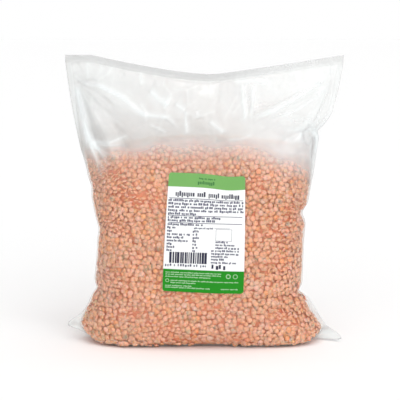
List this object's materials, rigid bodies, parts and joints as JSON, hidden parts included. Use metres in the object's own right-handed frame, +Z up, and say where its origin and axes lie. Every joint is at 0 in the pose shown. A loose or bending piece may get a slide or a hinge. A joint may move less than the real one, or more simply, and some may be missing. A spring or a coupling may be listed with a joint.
{
  "type": "clear film bag of red split lentils",
  "caption": "Clear film bag of red split lentils, heat-sealed across the top, standing on its filled base, with slack film above and a paper label on the front.",
  "frame": {"origin": "on the floor, under the middle of the bag's overall box", "axes": "+Z up, towards the sealed top edge; -Y towards the front, which carries the label; +X to the right seen from the front"},
  "size_m": [0.3622, 0.1172, 0.38],
  "materials": {
    "film": "clear soft plastic film, glossy, milky where it is slack and creased",
    "lentils": "dry red split lentils, salmon to orange, satin",
    "paper": "smooth white label paper with light green and dark green bands and grey print"
  },
  "bodies": {
    "root": {"bag": "film", "label": "paper"}
  },
  "joints": []
}
